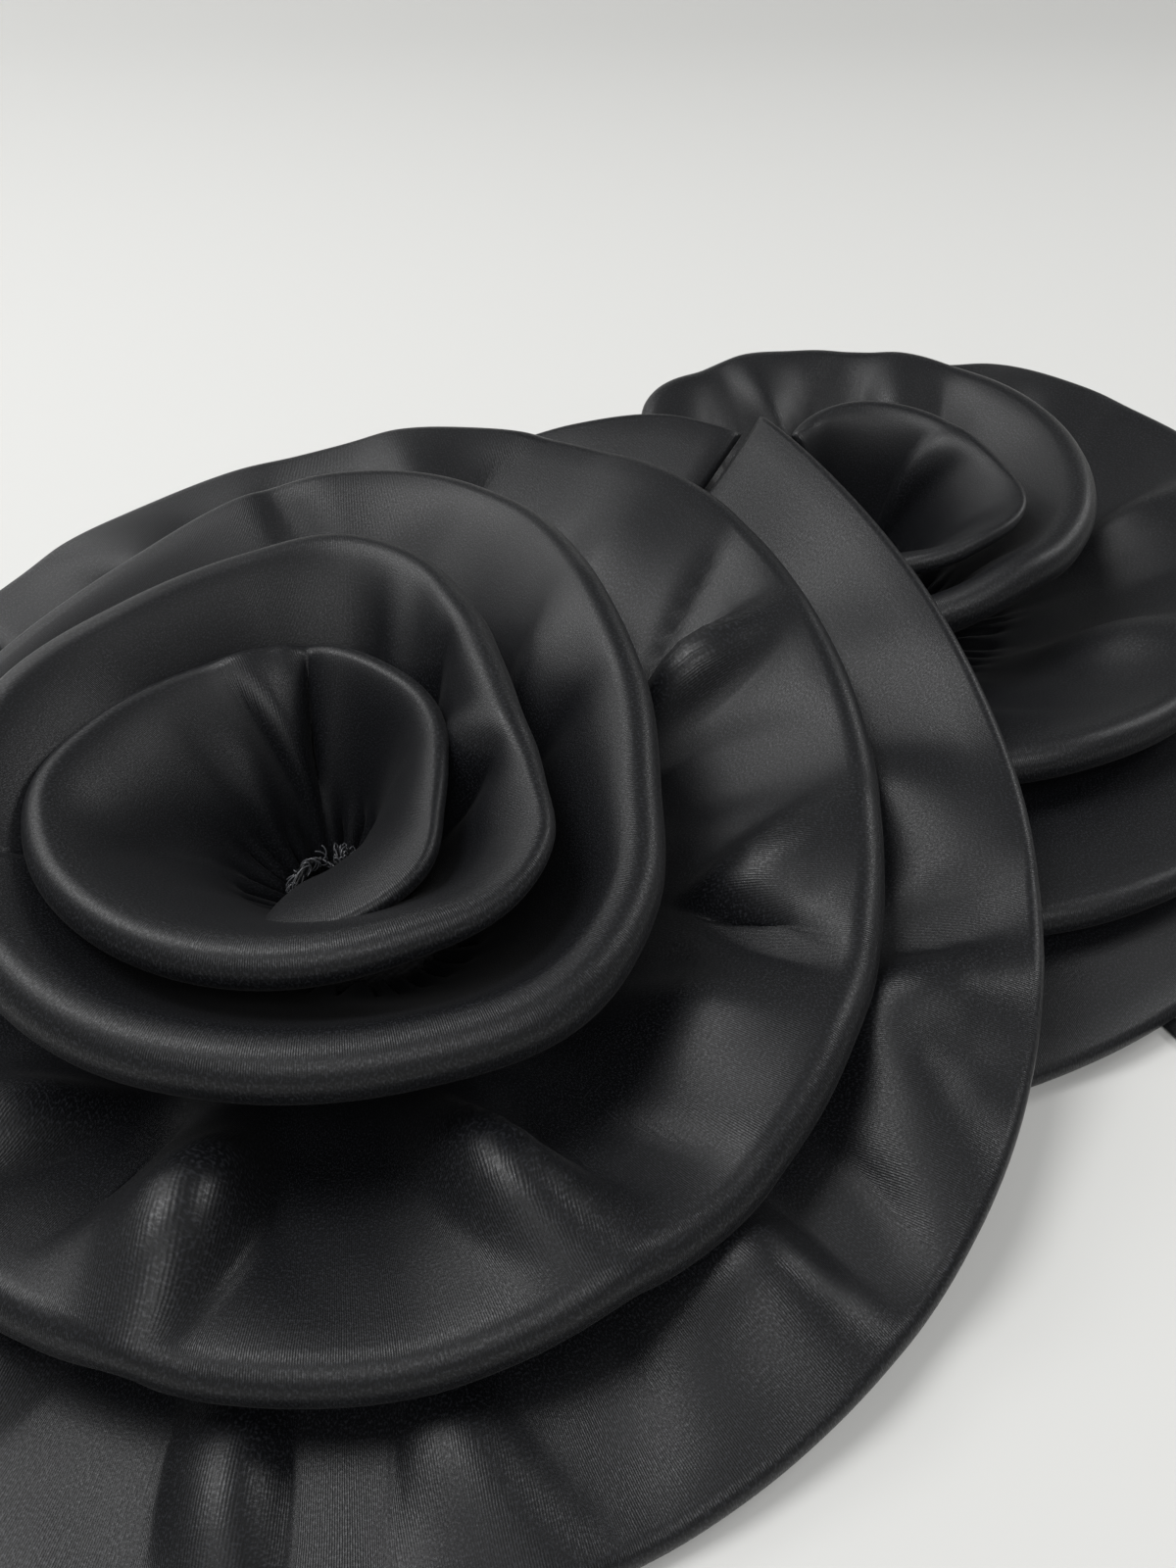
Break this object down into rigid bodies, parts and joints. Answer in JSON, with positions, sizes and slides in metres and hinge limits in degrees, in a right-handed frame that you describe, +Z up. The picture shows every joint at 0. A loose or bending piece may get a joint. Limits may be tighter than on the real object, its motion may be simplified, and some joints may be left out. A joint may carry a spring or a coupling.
{
  "type": "costume boa",
  "caption": "Black satin costume boa: gathered doubled ruffles coiled into overlapping rosettes on a flat neck band, with a ribbon tie folding at each end.",
  "frame": {"origin": "on the surface the boa lies on, under the heart of the front rosette", "axes": "+Z up out of the rosettes; +X to the wearer's side where the rear rosette and its tie lie, along the laid-out length; +Y towards the rear rosette"},
  "size_m": [0.6105, 0.4277, 0.0643],
  "materials": {
    "satin": "heavy black satin with a soft sheen and a fine cross rib",
    "lining": "matt black lining",
    "buckram": "stiff matt open-weave buckram",
    "thread": "glossy black polyester thread"
  },
  "bodies": {
    "rosettes": {"front_heart_ruffle": "satin", "front_middle_ruffle": "satin", "front_outer_ruffle": "satin", "rear_heart_ruffle": "satin", "rear_upper_ruffle": "satin", "rear_lower_ruffle": "satin", "rear_outer_ruffle": "satin", "neck_band": "satin", "front_tie_stay": "satin", "rear_tie_stay": "satin", "front_gathering_thread": "thread", "front_overlocked_edge": "thread", "rear_gathering_thread": "thread", "rear_overlocked_edge": "thread", "front_backing_cover": "lining", "rear_backing_cover": "lining", "neck_band_interlining": "lining", "front_stiff_backing": "buckram", "rear_stiff_backing": "buckram"},
    "front_tie": {"front_tie": "satin"},
    "rear_tie": {"rear_tie": "satin"}
  },
  "joints": [
    {"name": "front_tie_fold", "type": "hinge", "parent": "rosettes", "child": "front_tie", "pos_m": [-0.13758, -0.02426, 0.0008], "axis": [-0.1736, 0.9848, 0], "range_deg": [0, 90]},
    {"name": "rear_tie_fold", "type": "hinge", "parent": "rosettes", "child": "rear_tie", "pos_m": [0.17953, -0.01948, 0.0008], "axis": [-0.8746, -0.4848, 0], "range_deg": [0, 90]}
  ]
}
